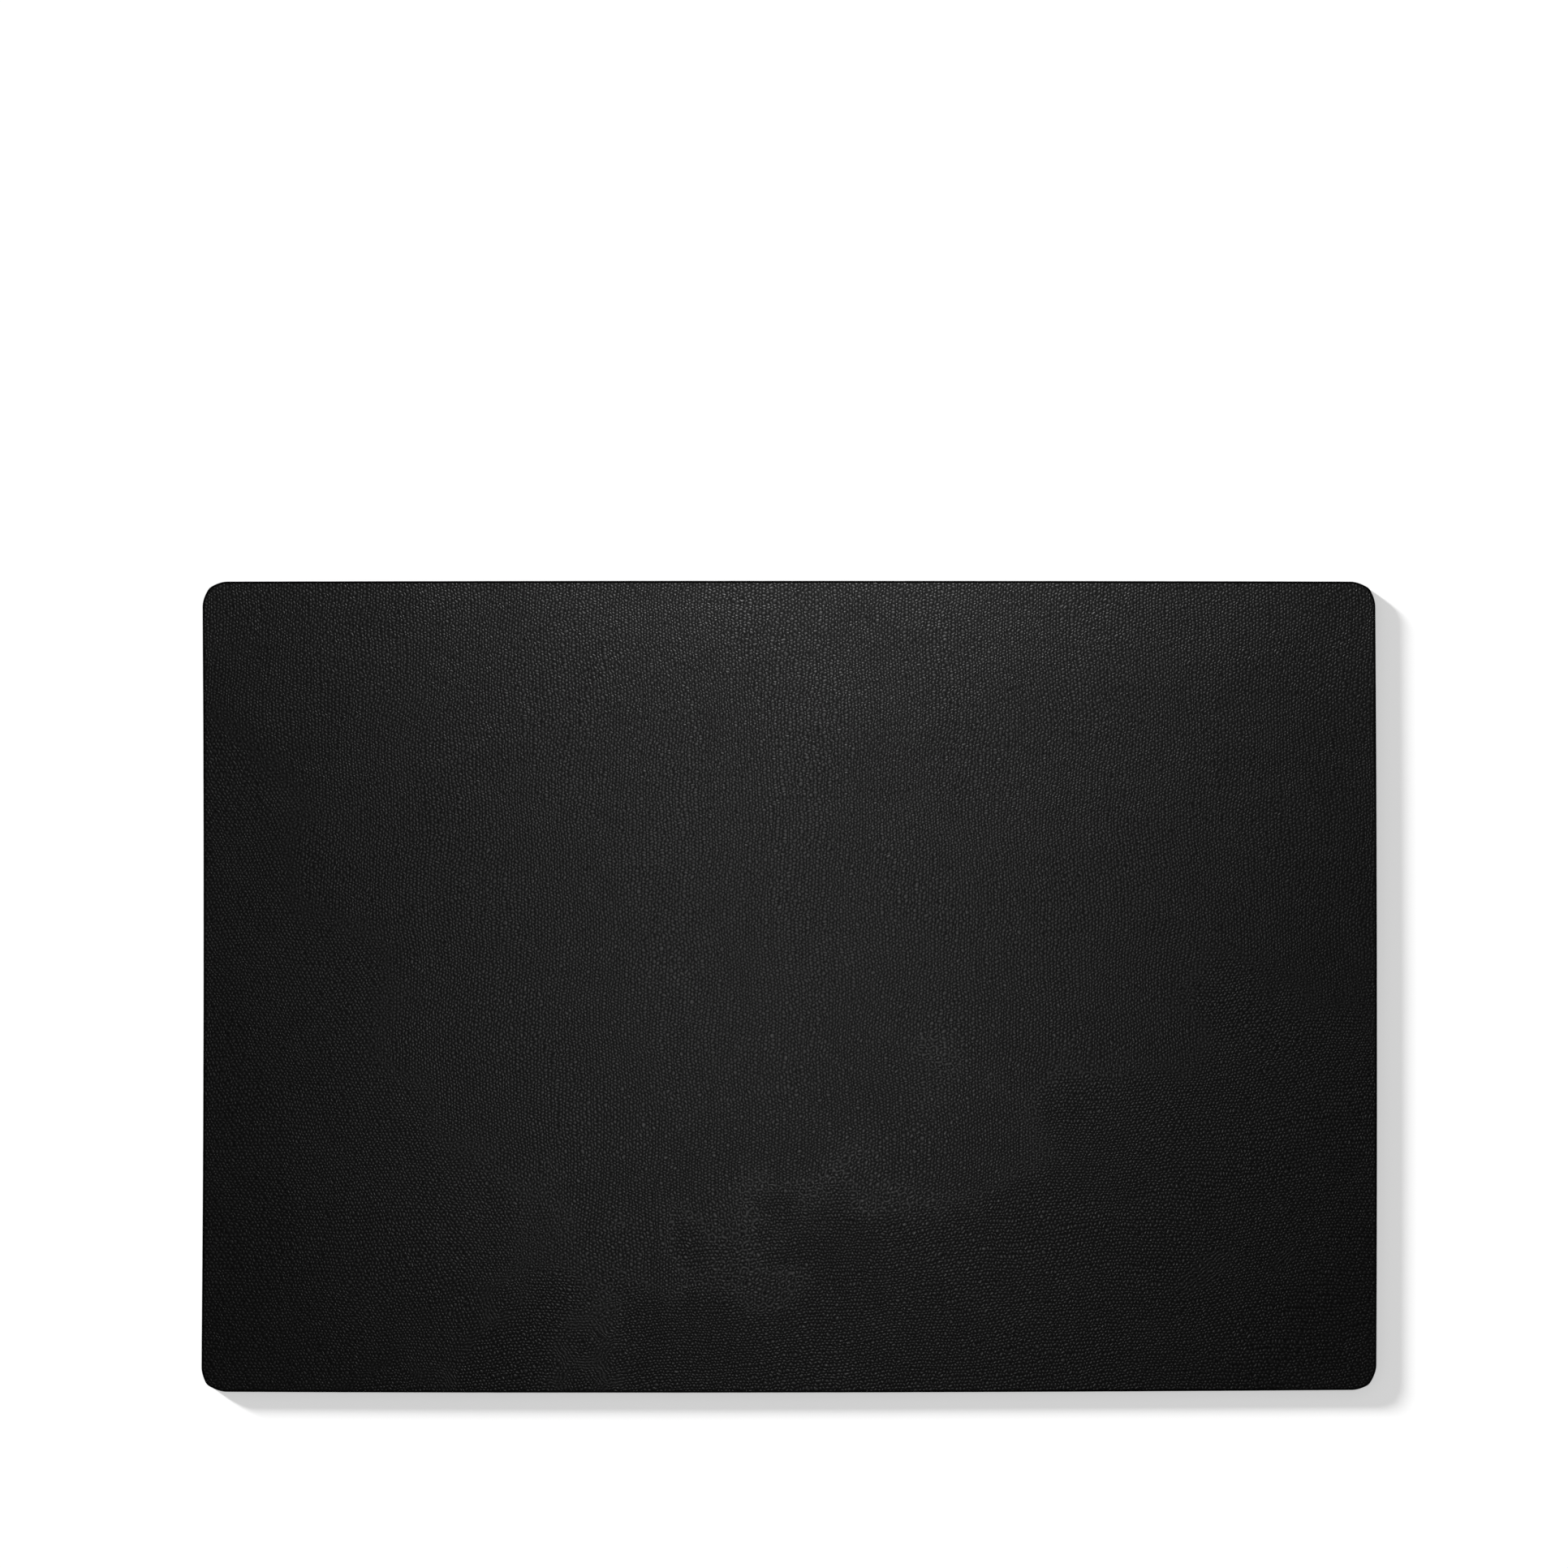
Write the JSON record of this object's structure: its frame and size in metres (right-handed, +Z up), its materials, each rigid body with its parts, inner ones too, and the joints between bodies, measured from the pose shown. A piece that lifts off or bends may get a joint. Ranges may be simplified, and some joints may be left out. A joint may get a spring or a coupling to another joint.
{
  "type": "desk mat",
  "caption": "Flat rectangular leather desk mat with rounded corners, a rolled top edge, a painted cut edge and a suede underside.",
  "frame": {"origin": "on the desk's surface, under the middle of the mat", "axes": "+X along the length, to the right of the person at the desk; +Y along the width, away from that person; +Z up"},
  "size_m": [0.65, 0.449, 0.003],
  "materials": {
    "leather": "black, fine pebbled grain, soft satin sheen",
    "edge_paint": "black edge dressing, satin",
    "board": "bonded leather fibre board, dull",
    "bond_film": "dried contact adhesive, slightly glossy",
    "suede": "black suede, short brushed nap"
  },
  "bodies": {
    "root": {"suede_backing": "suede", "backing_bond_film": "bond_film", "stiffening_board": "board", "face_bond_film": "bond_film", "leather_face": "leather", "edge_paint": "edge_paint"}
  },
  "joints": []
}
